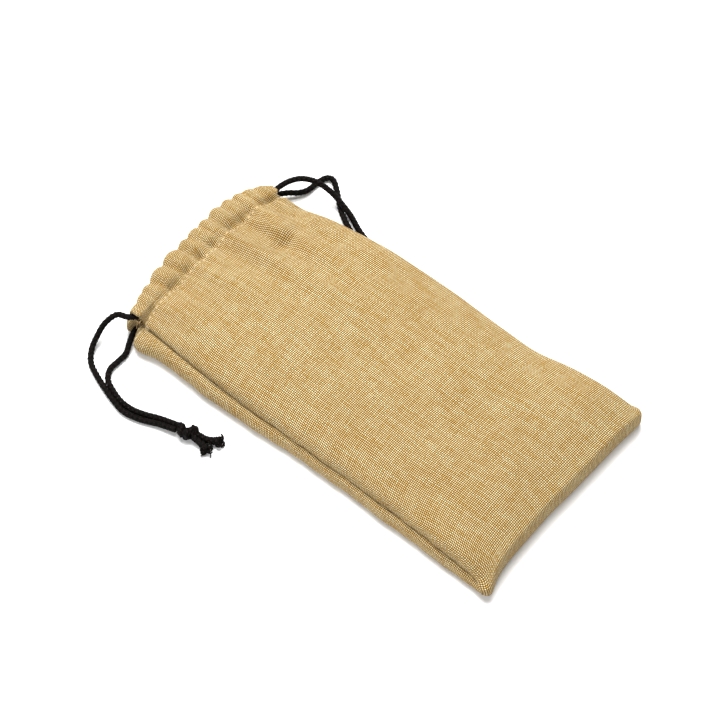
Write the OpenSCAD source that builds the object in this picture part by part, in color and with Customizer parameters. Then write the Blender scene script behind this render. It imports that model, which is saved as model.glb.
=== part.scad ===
// Drawstring herbal compress pouch: a flat cloth pouch with two black cords and a herb sachet.
// X runs from the mouth (-X) to the folded bottom (+X), Y runs across, Z is up.
// The underside lies on z = 0 and the origin is under the middle of the pouch.

/* [Pouch] */
// Length from the middle of the mouth's edge to the bottom corners
pouch_l = 185; // [176:1:196]
// Width across the bottom corners
pouch_w = 97; // [94:1:102]
// Height of the stuffed middle
pouch_h = 15; // [14.8:0.1:17]
// Thickness of the cloth with its inner facing
cloth_t = 1; // [0.8:0.1:1.2]
// Height of the side seams above the underside, along the middle
seam_h = 6; // [5:0.5:7]
// Width of the seam allowance that is turned inside
allowance_w = 5; // [4:0.5:6]

/* [Mouth] */
// Width across the gathered mouth, from casing end to casing end
mouth_w = 77; // [75:1:80]
// Depth of a casing at the middle, from its edge to its stitching
casing_w = 13; // [12:0.5:14]
// How far the corners of the mouth stand back from its middle
mouth_bow = 5.8; // [4:0.2:6]
// Wall of the cord tunnel inside a casing
tunnel_t = 0.7; // [0.5:0.1:0.8]
// Length of the hemmed end of a casing
casing_end_l = 1.5; // [1:0.5:2]

/* [Cords] */
// Diameter of each braided cord
cord_d = 2.1; // [1.9:0.1:2.2]
// Gap around a cord where it runs through a casing
cord_gap = 0.3; // [0.2:0.1:0.4]
// Height of the run in the front casing
front_run_z = 11.4; // [11.3:0.1:11.5]
// Height of the run in the back casing
back_run_z = 3; // [2.9:0.1:3.1]
// Distance from the casing stitching to the right cord's runs
right_run_in = 1.5; // [1.4:0.1:1.6]
// Distance between the runs of the two cords
run_pitch = 2.5; // [2.4:0.1:2.8]

/* [Sachet] */
// Length of the muslin sachet without its sewn edge
sachet_l = 130; // [110:1:132]
// Width of the sachet
sachet_w = 72; // [60:1:74]
// Thickness of the filled sachet
sachet_h = 11; // [8:0.5:11]
// Thickness of the muslin cover
muslin_t = 0.5; // [0.4:0.1:0.6]
// Width of the sewn edge at the sachet's mouth end
flange_w = 5; // [4:0.5:6]

/* [Stitching] */
// Diameter of the sewing thread
thread_d = 0.5; // [0.4:0.1:0.6]
// Distance from stitch to stitch
stitch_pitch = 3; // [2.5:0.5:4]
// Length of the thread that shows in one stitch
stitch_l = 2.3; // [1.8:0.1:2.4]

/* [Hidden] */

CLOTH = "burlywood";
CLOTH_DARK = "tan";
THREAD = "antiquewhite";
CORD = [0.06, 0.06, 0.06];
MUSLIN = "oldlace";
HERBS = "olivedrab";

ROUND = 16;            // facets of a thread
SIDES = 8;             // sides of a cord
SPREAD = 3.4;          // how square the crown of a cross-section is
ARC_STEPS = 14;        // steps over the crown
CORNER_STEPS = 5;      // steps round a lower corner
END_GAP = 0.2;         // gap between a casing and its hemmed end
SKIN = 1;              // how far a cutting shape reaches past what it cuts

bottom_x = pouch_l / 2;
mouth_x = -pouch_l / 2;
stitch_x = mouth_x + casing_w;
end_y = mouth_w / 2;
casing_y = end_y - casing_end_l - END_GAP;
right_run_x = stitch_x - right_run_in;
left_run_x = right_run_x - run_pitch;
run_r = (front_run_z - back_run_z) / 2;
turn_reach = 2.6;      // how far a cord's turn reaches past the casings
tunnel_r = cord_d / 2 + cord_gap;
front_lo = front_run_z - tunnel_r - tunnel_t;
back_hi = back_run_z + tunnel_r + tunnel_t;

// Sections of the body from the bottom fold to the mouth's stitching:
// [distance from the bottom corners, share of half width, share of seam height, share of crown height]
body_sections = [
    [0, 0.973, 0.37, 0.4], [1.5, 0.993, 0.5, 0.55], [4, 1, 0.64, 0.69], [9, 0.993, 0.83, 0.83],
    [18, 0.982, 0.94, 0.94], [32, 0.97, 1, 0.99], [92, 0.959, 1, 1], [140, 0.948, 1.08, 1],
    [158, 0.907, 1.22, 0.987], [pouch_l - casing_w, 0.856, 1.33, 0.973]];

function section_x(s) = bottom_x - s[0];
function half_w(s) = s[1] * pouch_w / 2;
function seam_z(s) = s[2] * seam_h;
function crown_z(s) = s[3] * pouch_h;

function curve(c, power) = sign(c) * pow(abs(c), 2 / power);

// A crown from +half to -half, z0 high at its feet and z1 at its top
function crown(half, z0, z1) = [for (i = [0 : ARC_STEPS]) let (a = 180 * i / ARC_STEPS)
    [half * curve(cos(a), SPREAD), z0 + (z1 - z0) * curve(sin(a), SPREAD)]];

// A flat floor at z1 with rounded corners that rise to z0, from -half to +half. The right cord lies
// along the right side, which is tucked in more there.
function floor_half(half, z0, z1, r) = [for (i = [0 : CORNER_STEPS]) let (a = 90 * i / CORNER_STEPS)
    [half - r * (1 - cos(a)), z0 - (z0 - z1) * sin(a)]];
function tray(half, z0, z1) = let (left = floor_half(half, z0, z1, min(4, z0)),
    right = floor_half(half, z0, z1, min(13, 2.2 * z0))) concat(
    [for (p = left) [-p[0], p[1]]], [for (i = [CORNER_STEPS : -1 : 0]) right[i]]);

function skirted(points, z) = concat([[points[0][0], z]], points, [[points[len(points) - 1][0], z]]);

// Skins a list of closed rings, each with the same number of points
module loft(rings) {
    n = len(rings[0]);
    last = len(rings) - 1;
    points = [for (ring = rings) for (p = ring) p];
    sides = [for (i = [0 : last - 1]) for (j = [0 : n - 1]) let (k = (j + 1) % n)
        each [[i * n + j, i * n + k, (i + 1) * n + k], [i * n + j, (i + 1) * n + k, (i + 1) * n + j]]];
    first_cap = [for (j = [n - 1 : -1 : 0]) j];
    last_cap = [for (j = [0 : n - 1]) last * n + j];
    polyhedron(points, concat(sides, [first_cap, last_cap]), convexity = 6);
}

function in_x(x, points) = [for (p = points) [x, p[0], p[1]]];
function in_y(y, points) = [for (p = points) [p[0], y, p[1]]];

// Upper and lower halves of the pouch's outside
module upper_half() {
    loft([for (s = body_sections) in_x(section_x(s), crown(half_w(s), seam_z(s), crown_z(s)))]);
}

module lower_half() {
    loft([for (s = body_sections) in_x(section_x(s), tray(half_w(s), seam_z(s), 0))]);
}

// Upper and lower halves of the hollow inside, which runs out through the mouth's end
mouth_section = body_sections[len(body_sections) - 1];
hollow_sections = concat([for (s = body_sections) if (s[0] > cloth_t) s],
    [[mouth_section[0] + SKIN, mouth_section[1], mouth_section[2], mouth_section[3]]]);
module upper_hollow() {
    loft([for (s = hollow_sections) in_x(section_x(s), skirted(
        crown(half_w(s) - cloth_t, seam_z(s), crown_z(s) - cloth_t), seam_z(s) - cloth_t / 2))]);
}

module lower_hollow() {
    loft([for (s = hollow_sections) in_x(section_x(s), skirted(
        tray(half_w(s) - cloth_t, seam_z(s), cloth_t), seam_z(s) + cloth_t / 2))]);
}

module front_panel() {
    color(CLOTH) difference() {
        upper_half();
        upper_hollow();
    }
}

module back_panel() {
    color(CLOTH_DARK) difference() {
        lower_half();
        lower_hollow();
    }
}

// Edge of the mouth in plan, and the height of the front casing's back, at a place across it
function edge_x(y) = mouth_x + mouth_bow * pow(abs(y) / end_y, 2.5);
function casing_top(y) = pouch_h - 0.8 * pow(abs(y) / end_y, 2);

// Section of a casing: square at its stitching, round at its free edge
function casing_ring(y, z0, z1, t) = let (r = (z1 - z0) / 2 - t) in_y(y, concat(
    [[stitch_x - t / 2, z0 + t], [stitch_x - t / 2, z1 - t]],
    [for (i = [0 : 6]) let (a = 90 + 30 * i)
        [edge_x(y) + t + r + r * cos(a), (z0 + z1) / 2 + r * sin(a)]]));

CASING_STEPS = 12;
module casing(z0, tops, t, y0, y1) {
    loft([for (i = [0 : CASING_STEPS]) let (y = y0 + (y1 - y0) * i / CASING_STEPS)
        casing_ring(y, z0, tops ? casing_top(y) : back_hi, t)]);
}

module front_casing() {
    color(CLOTH) difference() {
        casing(front_lo, true, 0, -casing_y, casing_y);
        casing(front_lo, true, tunnel_t, -casing_y - SKIN, casing_y + SKIN);
    }
}

module back_casing() {
    color(CLOTH_DARK) difference() {
        casing(0, false, 0, -casing_y, casing_y);
        casing(0, false, tunnel_t, -casing_y - SKIN, casing_y + SKIN);
    }
}

// The hemmed ends of both casings on the left, open towards the slit where the cords pass
module casing_end() {
    difference() {
        union() {
            casing(front_lo, true, 0, -end_y, -end_y + casing_end_l);
            casing(0, false, 0, -end_y, -end_y + casing_end_l);
        }
        casing(front_lo, true, tunnel_t, -end_y - SKIN, -end_y + casing_end_l + SKIN);
        casing(0, false, tunnel_t, -end_y - SKIN, -end_y + casing_end_l + SKIN);
        translate([edge_x(end_y) + tunnel_t, -end_y - SKIN, back_run_z - tunnel_r])
            cube([stitch_x - edge_x(end_y) - 1.5 * tunnel_t, casing_end_l + 2 * SKIN,
                  front_run_z - back_run_z + 2 * tunnel_r]);
    }
}

module left_casing_end() {
    color(CLOTH_DARK) casing_end();
}

module right_casing_end() {
    color(CLOTH_DARK) mirror([0, 1, 0]) casing_end();
}

// Cloth of both panels turned inside along the left seam
allowance_gap = 0.4;
allowance_sections = [for (s = body_sections) if (s[0] >= 4) s];
module seam_allowance() {
    loft([for (s = allowance_sections) let (y = half_w(s) - cloth_t - allowance_gap, z = seam_z(s))
        in_x(section_x(s), [[-y + allowance_w, z - 0.8], [-y + allowance_w, z + 0.8], [-y, z + 0.8], [-y, z - 0.8]])]);
}

module left_seam_allowance() {
    color(CLOTH_DARK) seam_allowance();
}

module right_seam_allowance() {
    color(CLOTH_DARK) mirror([0, 1, 0]) seam_allowance();
}

// A place on the seam line, x from the bottom: [half width, seam height]
widths = [for (i = [len(body_sections) - 1 : -1 : 0]) [section_x(body_sections[i]), half_w(body_sections[i])]];
seams = [for (i = [len(body_sections) - 1 : -1 : 0]) [section_x(body_sections[i]), seam_z(body_sections[i])]];

module stitch_x_way(x, y, z) {
    translate([x - stitch_l / 2, y, z]) rotate([0, 90, 0]) cylinder(d = thread_d, h = stitch_l, $fn = ROUND);
}

module stitch_y_way(x, y, z) {
    translate([x, y + stitch_l / 2, z]) rotate([90, 0, 0]) cylinder(d = thread_d, h = stitch_l, $fn = ROUND);
}

// Stitches that lie on the seam allowance, one row beside the seam
module seam_stitching(side) {
    for (x = [stitch_x + 3 : stitch_pitch : bottom_x - 14])
        stitch_x_way(x, side * (lookup(x, widths) - cloth_t - 2), lookup(x, seams) + 0.86 + thread_d / 2);
}

module left_seam_stitching() {
    color(THREAD) seam_stitching(-1);
}

module right_seam_stitching() {
    color(THREAD) seam_stitching(1);
}

// Row of stitches that closes the front casing, on its top just short of the panel
module front_casing_stitching() {
    color(THREAD) for (y = [-casing_y + 2 : stitch_pitch : casing_y - 2])
        stitch_y_way(stitch_x - 0.6, y, casing_top(abs(y) + stitch_l / 2) + 0.12 + thread_d / 2);
}

// The same row on the back casing, seen only from inside the mouth
module back_casing_stitching() {
    color(THREAD) for (y = [-casing_y + 2 : stitch_pitch : casing_y - 2])
        stitch_y_way(stitch_x - 0.6, y, back_hi + 0.05 + thread_d / 2);
}

// Bar tack that ends the side seam at the slit between the casings
module slit_tack(side) {
    for (i = [0 : 3]) let (x = stitch_x + 1 + 0.6 * i)
        translate([x, side * (lookup(x, widths) + thread_d / 2 + 0.15), seam_z(mouth_section) - 1.3])
            cylinder(d = thread_d, h = 2.6, $fn = ROUND);
}

module left_slit_tack() {
    color(THREAD) slit_tack(-1);
}

module right_slit_tack() {
    color(THREAD) slit_tack(1);
}

// Sweeps a cord of diameter d along a route; ref is a direction that the route never takes
function unit(v) = v / norm(v);
function heading(route, i) = unit(route[min(i + 1, len(route) - 1)] - route[max(i - 1, 0)]);
function cord_ring(p, t, ref, d) = let (u = unit(cross(t, ref)), v = cross(u, t))
    [for (k = [0 : SIDES - 1]) let (a = 360 * k / SIDES) p + d / 2 * (cos(a) * u + sin(a) * v)];
module cord(route, ref, d, start, end) {
    last = len(route) - 1;
    loft([for (i = [0 : last])
        cord_ring(route[i], i == 0 ? unit(start) : i == last ? unit(end) : heading(route, i), ref, d)]);
}

// A cord's two runs through the casings and its turn at the far slit; side is +1 for a turn at +Y
function run_route(x, side) = concat([[x, -side * end_y, front_run_z]],
    [for (a = [90 : -36 : -90]) [x, side * (casing_y + turn_reach * cos(a)),
                                (front_run_z + back_run_z) / 2 + run_r * sin(a)]],
    [[x, -side * end_y, back_run_z]]);
module cord_run(x, side) {
    color(CORD) cord(run_route(x, side), [1, 0, 0], cord_d, [0, side, 0], [0, -side, 0]);
}

module left_cord_run() {
    cord_run(left_run_x, 1);
}

module right_cord_run() {
    cord_run(right_run_x, -1);
}

// Free strands, from the slit to the knot, measured from the middle of the pouch
left_front_route = [[-83.5, -38.5, 11.4], [-83.8, -40.5, 11.5], [-86, -42.6, 11.4], [-90.5, -43.8, 10.1],
    [-93, -48, 7], [-92.5, -53, 4], [-90.5, -58, 2], [-87, -62, 1.2], [-81.5, -64.8, 1.1],
    [-76, -67.3, 1.1], [-70.5, -69.8, 1.1], [-64, -71.4, 1.1], [-57, -70.5, 1.1],
    [-50, -67.9, 1.7], [-42.8, -65.4, 2.4]];
left_back_route = [[-83.5, -38.5, 3], [-83.4, -41, 3], [-82.5, -44, 2.8], [-80.8, -47.5, 2],
    [-79.4, -51.5, 1.2], [-79, -56, 1.1], [-79.2, -60.3, 1.1], [-77, -64, 1.1], [-72.4, -66.4, 1.1],
    [-67.5, -68.3, 1.1], [-62.5, -68.4, 1.1], [-57.5, -67, 1.2], [-51, -64.9, 1.7], [-43.2, -63.2, 2.4]];
right_front_route = [[-81, 38.5, 11.4], [-80.8, 42, 11.4], [-79, 46, 11.3], [-76, 49.4, 10.7],
    [-72, 52, 9.3], [-67.5, 53.6, 7.6], [-62.5, 54, 5.8], [-57, 53.2, 4], [-51.5, 51.8, 2.5],
    [-46, 49.4, 1.4], [-40.5, 47.4, 1.1], [-35, 46.7, 1.1], [-29.5, 46.8, 1.3], [-24, 47.4, 1.9]];
right_back_route = [[-81, 38.5, 3], [-80.6, 41.5, 3], [-78, 44.8, 2.8], [-75, 48, 2],
    [-73.2, 52, 1.2], [-72.6, 56.5, 1.1], [-71.2, 60.6, 1.1], [-68, 61.4, 1.1], [-62, 56.6, 1.1],
    [-57, 52.2, 1.1], [-51, 48.4, 1.1], [-44.5, 45.6, 1.1], [-37, 44.4, 1.1], [-30, 44.5, 1.2],
    [-24, 45.3, 1.7]];

module left_cord_front_strand() {
    color(CORD) cord(left_front_route, [0, 0, 1], cord_d, [0, -1, 0], [1, 0.35, 0]);
}

module left_cord_back_strand() {
    color(CORD) cord(left_back_route, [0, 0, 1], cord_d, [0, -1, 0], [1, 0.25, 0]);
}

module right_cord_front_strand() {
    color(CORD) cord(right_front_route, [0, 0, 1], cord_d, [0, 1, 0], [1, 0.1, 0]);
}

module right_cord_back_strand() {
    color(CORD) cord(right_back_route, [0, 0, 1], cord_d, [0, 1, 0], [1, 0.1, 0]);
}

// An overhand knot of both strands, as the lump that it fills
KNOT_BALL = 20;
module knot(at, turn, size) {
    color(CORD) translate(at) rotate([0, 0, turn]) scale(size) hull() {
        translate([-1.4, 0, 0]) sphere(r = 2.9, $fn = KNOT_BALL);
        translate([2.6, 0.9, -0.1]) sphere(r = 2.8, $fn = KNOT_BALL);
        translate([2.2, -1, -0.3]) sphere(r = 2.6, $fn = KNOT_BALL);
    }
}

module left_cord_knot() {
    knot([-39.2, -63.8, 2.95], 22, 1);
}

module right_cord_knot() {
    knot([-20.8, 47.3, 2.3], 4, 0.76);
}

// The two ends past the knot, frayed at the tip
left_end_routes = [[[-34.4, -61.8, 2.6], [-30, -60, 1.8], [-25.6, -57.2, 1.3]],
                   [[-34.8, -64.1, 2.4], [-31, -64.8, 1.5], [-27.2, -65.2, 1.2]]];
right_end_routes = [[[-17.3, 47.8, 2.2], [-11, 47.4, 1.4], [-5.5, 46.7, 1.2]],
                    [[-17.3, 45.7, 1.9], [-11.5, 45, 1.3], [-6, 44.2, 1.2]]];

module cord_ends(routes) {
    color(CORD) for (route = routes)
        cord(route, [0, 0, 1], cord_d, route[1] - route[0], route[2] - route[1]);
}

module left_cord_ends() {
    cord_ends(left_end_routes);
}

module right_cord_ends() {
    cord_ends(right_end_routes);
}

// The sachet: a pillow with a flat sewn edge towards the mouth
sachet_x1 = bottom_x - 6;
sachet_x0 = sachet_x1 - sachet_l;
sachet_lift = cloth_t + 0.3;
sachet_mid = sachet_lift + sachet_h * 0.46;
sachet_sections = [[0, 0.93, 0.12], [3, 0.97, 0.4], [9, 1, 0.72], [20, 1, 0.92], [40, 1, 1],
                   [90, 1, 1], [110, 1, 0.92], [121, 1, 0.72], [127, 0.97, 0.4], [130, 0.93, 0.12]];
SACHET_STEPS = 20;
function pillow(half, low, high) = [for (i = [0 : 2 * SACHET_STEPS - 1]) let (a = 180 * i / SACHET_STEPS)
    [half * curve(cos(a), 3), sachet_mid + (sin(a) >= 0 ? high : low) * curve(sin(a), 2.4)]];
module sachet_body(t) {
    loft([for (s = sachet_sections) let (f = s[0] / 130) in_x(
        sachet_x1 - t - f * (sachet_l - 2 * t),
        pillow(s[1] * sachet_w / 2 - t,
               s[2] * (sachet_mid - sachet_lift) - t * min(1, s[2] * 3),
               s[2] * (sachet_lift + sachet_h - sachet_mid) - t * min(1, s[2] * 3)))]);
}

flange_t = 1.2;
module sachet_cover() {
    color(MUSLIN) {
        difference() {
            sachet_body(0);
            sachet_body(muslin_t);
        }
        translate([sachet_x0 - flange_w, -sachet_w * 0.46, sachet_mid - flange_t / 2])
            cube([flange_w, sachet_w * 0.92, flange_t]);
    }
}

module herb_fill() {
    color(HERBS) sachet_body(muslin_t + 0.1);
}

module sachet_stitching() {
    color(THREAD) for (y = [-sachet_w * 0.46 + 2 : stitch_pitch : sachet_w * 0.46 - 2])
        stitch_y_way(sachet_x0 - flange_w * 0.4, y, sachet_mid + (flange_t + thread_d) / 2);
}

front_panel();
back_panel();
front_casing();
back_casing();
left_casing_end();
right_casing_end();
left_seam_allowance();
right_seam_allowance();
left_seam_stitching();
right_seam_stitching();
front_casing_stitching();
back_casing_stitching();
left_slit_tack();
right_slit_tack();
left_cord_run();
left_cord_front_strand();
left_cord_back_strand();
left_cord_knot();
left_cord_ends();
right_cord_run();
right_cord_front_strand();
right_cord_back_strand();
right_cord_knot();
right_cord_ends();
sachet_cover();
herb_fill();
sachet_stitching();
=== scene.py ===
"""Looks of the drawstring compress pouch: cloth, cords, stitches, sachet, floor, light and camera."""

import math

import bpy
import numpy as np
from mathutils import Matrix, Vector


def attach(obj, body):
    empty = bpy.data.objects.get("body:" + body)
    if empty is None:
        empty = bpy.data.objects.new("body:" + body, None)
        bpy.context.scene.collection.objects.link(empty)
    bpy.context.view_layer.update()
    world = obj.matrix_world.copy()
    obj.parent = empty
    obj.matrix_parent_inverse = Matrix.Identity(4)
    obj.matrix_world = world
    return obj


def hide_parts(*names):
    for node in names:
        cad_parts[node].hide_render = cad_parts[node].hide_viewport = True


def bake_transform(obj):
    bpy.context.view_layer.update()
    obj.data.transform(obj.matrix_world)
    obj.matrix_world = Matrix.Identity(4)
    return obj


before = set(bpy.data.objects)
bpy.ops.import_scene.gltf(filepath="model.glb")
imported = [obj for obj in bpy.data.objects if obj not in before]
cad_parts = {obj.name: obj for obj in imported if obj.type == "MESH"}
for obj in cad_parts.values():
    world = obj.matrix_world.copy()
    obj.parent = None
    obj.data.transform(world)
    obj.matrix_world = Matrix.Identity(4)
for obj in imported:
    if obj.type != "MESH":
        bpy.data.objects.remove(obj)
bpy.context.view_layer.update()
MM = 0.001
scene = bpy.context.scene
rng = np.random.default_rng(7)


# ---------------------------------------- camera
def aim_camera(azimuth, elevation, distance, target, lens):
    a, e = math.radians(azimuth), math.radians(elevation)
    back = Vector((math.sin(a) * math.cos(e), -math.cos(a) * math.cos(e), math.sin(e)))
    data = bpy.data.cameras.new("camera")
    data.lens, data.sensor_width = lens, 36
    data.clip_start, data.clip_end = 0.01, 20
    cam = bpy.data.objects.new("camera", data)
    scene.collection.objects.link(cam)
    cam.rotation_mode = "QUATERNION"
    cam.location = Vector(target) + back * distance
    cam.rotation_quaternion = (-back).to_track_quat("-Z", "Y")
    scene.camera = cam


aim_camera(azimuth=38.5, elevation=59.0, distance=1.123, target=(-0.00655, 0.0009, 0.005), lens=146.6)


# ---------------------------------------- small tools
def smoothstep(x, a=0.0, b=1.0):
    t = np.clip((np.asarray(x, float) - a) / (b - a), 0, 1)
    return t * t * (3 - 2 * t)


def lerp(a, b, t):
    return a + (b - a) * t


def table_curve(points, soften):
    """A smooth function through a few (place, value) pairs."""
    xs, ys = zip(*points)
    step = 0.5
    reach = int(4 * soften / step)
    grid = np.arange(xs[0] - 40, xs[-1] + 40, step)
    kernel = np.exp(-0.5 * (np.arange(-reach, reach + 1) * step / soften) ** 2)
    values = np.convolve(
        np.pad(np.interp(grid, xs, ys), reach, mode="edge"), kernel / kernel.sum(), "valid"
    )
    return lambda x: np.interp(x, grid, values)


def resample(points, n):
    """n + 1 points at equal distances along a polyline, and their distances along it."""
    d = np.concatenate([[0], np.cumsum(np.linalg.norm(np.diff(points, axis=0), axis=1))])
    at = np.linspace(0, d[-1], n + 1)
    return np.stack([np.interp(at, d, points[:, k]) for k in range(points.shape[1])], 1), at


def lattice(shape, cell, seed):
    """A smooth random field over a grid, one value per cell of so many grid steps."""
    r = np.random.default_rng(seed)
    rows, cols = (int(math.ceil(s / c)) + 3 for s, c in zip(shape, cell))
    v = r.normal(size=(rows, cols))
    i, j = np.arange(shape[0]) / cell[0], np.arange(shape[1]) / cell[1]
    i0, j0 = i.astype(int), j.astype(int)
    a, b = smoothstep(i - i0)[:, None], smoothstep(j - j0)[None, :]
    top = lerp(v[np.ix_(i0, j0)], v[np.ix_(i0, j0 + 1)], b)
    low = lerp(v[np.ix_(i0 + 1, j0)], v[np.ix_(i0 + 1, j0 + 1)], b)
    return lerp(top, low, a)


def mesh_object(name, verts, faces, material, uvs=None, smooth=True):
    """A mesh piece from points in millimetres; uvs holds one pair per face corner."""
    mesh = bpy.data.meshes.new(name)
    mesh.from_pydata((np.asarray(verts, float) * MM).tolist(), [], faces)
    if uvs is not None:
        mesh.uv_layers.new(name="weave").data.foreach_set(
            "uv", np.asarray(uvs, np.float32).ravel()
        )
    mesh.polygons.foreach_set("use_smooth", [smooth] * len(mesh.polygons))
    mesh.materials.append(material)
    mesh.update()
    obj = bpy.data.objects.new(name, mesh)
    scene.collection.objects.link(obj)
    return obj


# ---------------------------------------- materials
class Nodes:
    """A material's node tree, with short calls for the nodes used here."""

    def __init__(self, name):
        self.material = bpy.data.materials.new(name)
        self.material.use_nodes = True
        self.tree = self.material.node_tree
        self.shader = self.tree.nodes["Principled BSDF"]

    def node(self, kind, **inputs):
        made = self.tree.nodes.new(kind)
        for key, value in inputs.items():
            self.put(made.inputs[key], value)
        return made

    def put(self, socket, value):
        if isinstance(value, bpy.types.NodeSocket):
            self.tree.links.new(value, socket)
        elif value is not None:
            socket.default_value = value

    def math(self, operation, a, b=None, c=None, clamp=False):
        made = self.tree.nodes.new("ShaderNodeMath")
        made.operation, made.use_clamp = operation, clamp
        for socket, value in zip(made.inputs, (a, b, c)):
            self.put(socket, value)
        return made.outputs[0]

    def mix(self, share, a, b, blend="MIX"):
        made = self.tree.nodes.new("ShaderNodeMix")
        made.data_type, made.blend_type = "RGBA", blend
        for key, value in ((0, share), (6, a), (7, b)):
            self.put(made.inputs[key], value)
        return made.outputs[2]

    def vector(self, x, y, z=0.0):
        return self.node("ShaderNodeCombineXYZ", X=x, Y=y, Z=z).outputs[0]

    def noise(self, vector, scale, detail=2.0, rough=0.5):
        settings = {"Vector": vector, "Scale": scale, "Detail": detail, "Roughness": rough}
        return self.node("ShaderNodeTexNoise", **settings).outputs["Fac"]

    def spread(self, value, low, high, to_low=0.0, to_high=1.0):
        made = self.tree.nodes.new("ShaderNodeMapRange")
        for socket, v in zip(made.inputs, (value, low, high, to_low, to_high)):
            self.put(socket, v)
        return made.outputs[0]

    def place(self):
        """Position on the piece at rest, in metres."""
        return self.tree.nodes.new("ShaderNodeTexCoord").outputs["Object"]

    def weave(self):
        """The piece's two weave coordinates."""
        uv = self.tree.nodes.new("ShaderNodeUVMap")
        uv.uv_map = "weave"
        return self.node("ShaderNodeSeparateXYZ", Vector=uv.outputs[0]).outputs[:2]

    def bump(self, height, distance, strength=1.0):
        made = self.node("ShaderNodeBump", Strength=strength, Distance=distance, Height=height)
        self.put(self.shader.inputs["Normal"], made.outputs[0])

    def finish(self, colour, roughness, sheen=0.0, sheen_rough=0.5, tint=(1, 1, 1, 1)):
        for key, value in (("Base Color", colour), ("Roughness", roughness), ("Sheen Weight", sheen),
                           ("Sheen Roughness", sheen_rough), ("Sheen Tint", tint),
                           ("Specular IOR Level", 0.15)):
            self.put(self.shader.inputs[key], value)
        return self.material


def srgb(r, g, b):
    return (*(((c / 255 + 0.055) / 1.055) ** 2.4 if c > 10 else c / 255 / 12.92 for c in (r, g, b)), 1.0)


THREAD_PITCH = 0.76  # mm from thread to thread in the cloth


def woven(name, gap, warp, weft, slub, shade, depth, looseness=0.0, sheen=0.1):
    """A plain weave on the piece's own weave coordinates, one unit to a thread, with painted light and shade
    on each thread's relief.
    """
    n = Nodes(name)
    wander = n.noise(n.place(), 260.0, 1.0)
    shift = n.math("MULTIPLY", n.math("SUBTRACT", wander, 0.5), 0.34 + looseness)
    u, v = (n.math("ADD", thread, shift) for thread in n.weave())
    iu, iv = n.math("FLOOR", u), n.math("FLOOR", v)
    su = n.math("ABSOLUTE", n.math("SINE", n.math("MULTIPLY", u, math.pi)))
    sv = n.math("ABSOLUTE", n.math("SINE", n.math("MULTIPLY", v, math.pi)))
    parity = n.math("MODULO", n.math("ADD", n.math("ADD", iu, iv), 4000.0), 2.0)
    round_u, round_v = n.math("POWER", su, 0.55), n.math("POWER", sv, 0.55)
    # A warp thread runs along u, so its sides are found across v, and it rises over each weft
    warp_h = n.math("MULTIPLY", round_v, n.math("MULTIPLY_ADD", su, 0.55, 0.45))
    weft_h = n.math("MULTIPLY", round_u, n.math("MULTIPLY_ADD", sv, 0.55, 0.45))
    height = n.math("ADD", n.math("MULTIPLY", warp_h, parity),
                    n.math("MULTIPLY", weft_h, n.math("SUBTRACT", 1.0, parity)))
    # Each thread has its own shade, which also drifts along it
    warp_id = n.noise(n.vector(n.math("MULTIPLY", u, 0.07), n.math("MULTIPLY", iv, 3.7), 0.0), 1.0, 3.0, 0.7)
    weft_id = n.noise(n.vector(n.math("MULTIPLY", iu, 3.7), n.math("MULTIPLY", v, 0.07), 9.0), 1.0, 3.0, 0.7)
    warp_col = n.mix(n.spread(warp_id, 0.38, 0.64), warp, slub)
    weft_col = n.mix(n.spread(weft_id, 0.38, 0.64), weft, slub)
    top = n.mix(parity, weft_col, warp_col)
    # Painted light and shade: each thread is coloured lighter at its crown and darker down its sides, and the
    # low places between threads take the dark gap colour as painted shade.
    colour = n.mix(n.spread(height, 0.46, 0.92), gap, top)
    cloud = n.noise(n.place(), 28.0, 3.0, 0.55)
    colour = n.mix(n.spread(cloud, 0.3, 0.75, 0.0, 0.16), colour, shade)
    fuzz = n.noise(n.place(), 5200.0, 2.0, 0.6)
    n.bump(n.math("MULTIPLY_ADD", fuzz, 0.12, height), depth, 0.8)
    return n.finish(colour, 0.86, sheen, 0.45, (1.0, 0.93, 0.8, 1.0))


# The gap colour is painted shade for the weave's low places between the threads.
CLOTH = woven("pouch cloth", gap=srgb(40, 24, 6), warp=srgb(255, 236, 184), weft=srgb(250, 221, 158),
              slub=srgb(222, 176, 96), shade=srgb(136, 102, 50), depth=0.0005)
MUSLIN = woven("unbleached muslin", gap=srgb(120, 106, 80), warp=srgb(214, 203, 178),
               weft=srgb(200, 188, 160), slub=srgb(222, 212, 190), shade=srgb(160, 146, 116),
               depth=0.0002, looseness=0.15)


def thread_material():
    n = Nodes("sewing thread")
    fleck = n.noise(n.place(), 2600.0, 2.0)
    n.bump(fleck, 0.00012, 0.6)
    return n.finish(n.mix(fleck, srgb(180, 156, 118), srgb(220, 202, 168)), 0.7, 0.1, 0.4)


def cord_material():
    n = Nodes("braided black cord")
    along, around = (n.math("MULTIPLY", way, scale) for way, scale in zip(n.weave(), (3.0, 26.0)))
    hair = n.noise(n.vector(along, around), 1.0, 2.0, 0.6)
    fleck = n.noise(n.place(), 2300.0, 3.0, 0.7)
    colour = n.mix(n.spread(hair, 0.5, 0.85), (0.0022, 0.0015, 0.0014, 1), (0.012, 0.0085, 0.0075, 1))
    # Painted highlight: small lighter brown flecks over the braid stand in for its glints.
    colour = n.mix(n.spread(fleck, 0.6, 0.76, 0.0, 0.7), colour, (0.1, 0.078, 0.064, 1))
    n.bump(n.math("ADD", n.math("MULTIPLY", hair, 0.7), fleck), 0.00016, 0.7)
    made = n.finish(colour, 0.62, 0.0, 0.35)
    n.shader.inputs["Specular IOR Level"].default_value = 0.05
    return made


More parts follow.
